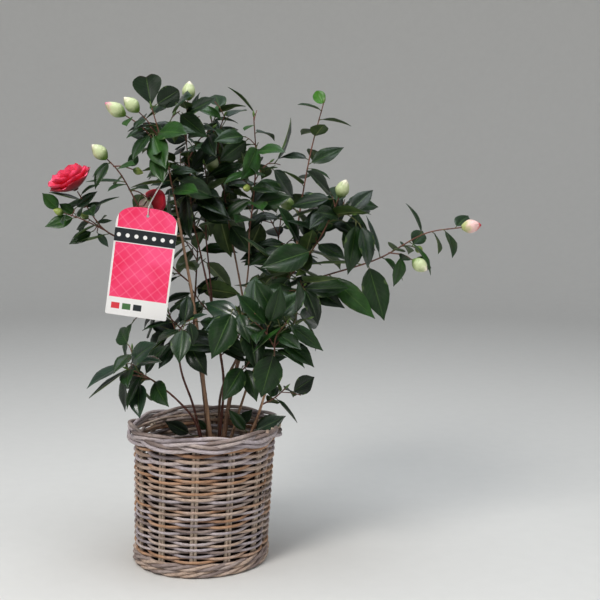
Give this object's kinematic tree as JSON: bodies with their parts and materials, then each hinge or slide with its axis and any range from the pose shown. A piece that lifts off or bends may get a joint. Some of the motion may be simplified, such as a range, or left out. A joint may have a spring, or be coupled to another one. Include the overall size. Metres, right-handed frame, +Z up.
{
  "type": "potted camellia shrub",
  "caption": "Young evergreen shrub with several slender stems, glossy oval leaves, pale buds and red blossom, planted in a round wicker basket and carrying a hanging tag.",
  "frame": {"origin": "centre of the basket's flat underside", "axes": "+Z up, -Y the side that carries the tag, +X towards the long arching bough"},
  "size_m": [0.6971, 0.3343, 0.8156],
  "materials": {
    "wicker": "matte",
    "compost": "matte",
    "bark": "satin",
    "foliage": "satin",
    "card": "satin",
    "string": "matte"
  },
  "bodies": {
    "root": {"basket": "wicker", "bough_b": "bark", "bough_bloom": "bark", "bough_bud": "bark", "bough_c": "bark", "bough_d": "bark", "bough_e": "bark", "bough_f": "bark", "bough_h": "bark", "compost": "compost", "crown_a": "foliage", "crown_b": "foliage", "crown_c": "foliage", "crown_d": "foliage", "crown_e": "foliage", "crown_f": "foliage", "crown_g": "foliage", "crown_h": "foliage", "crown_i": "foliage", "crown_k": "foliage", "crown_n": "foliage", "crown_p": "foliage", "crown_q": "foliage", "spray_bloom": "foliage", "spray_bud": "foliage", "spur_a1": "foliage", "spur_a2": "foliage", "spur_b1": "foliage", "spur_b2": "foliage", "spur_h1": "foliage", "spur_l1": "foliage", "spur_m1": "foliage", "spur_m2": "foliage", "spur_m3": "foliage", "spur_n1": "foliage", "stem_a": "bark", "stem_b": "bark", "stem_i": "bark", "stem_k": "bark", "stem_l": "bark", "stem_m": "bark", "stem_n": "bark", "stem_p": "bark", "stem_q": "bark", "tag": "card", "tag_string": "string"}
  },
  "joints": []
}
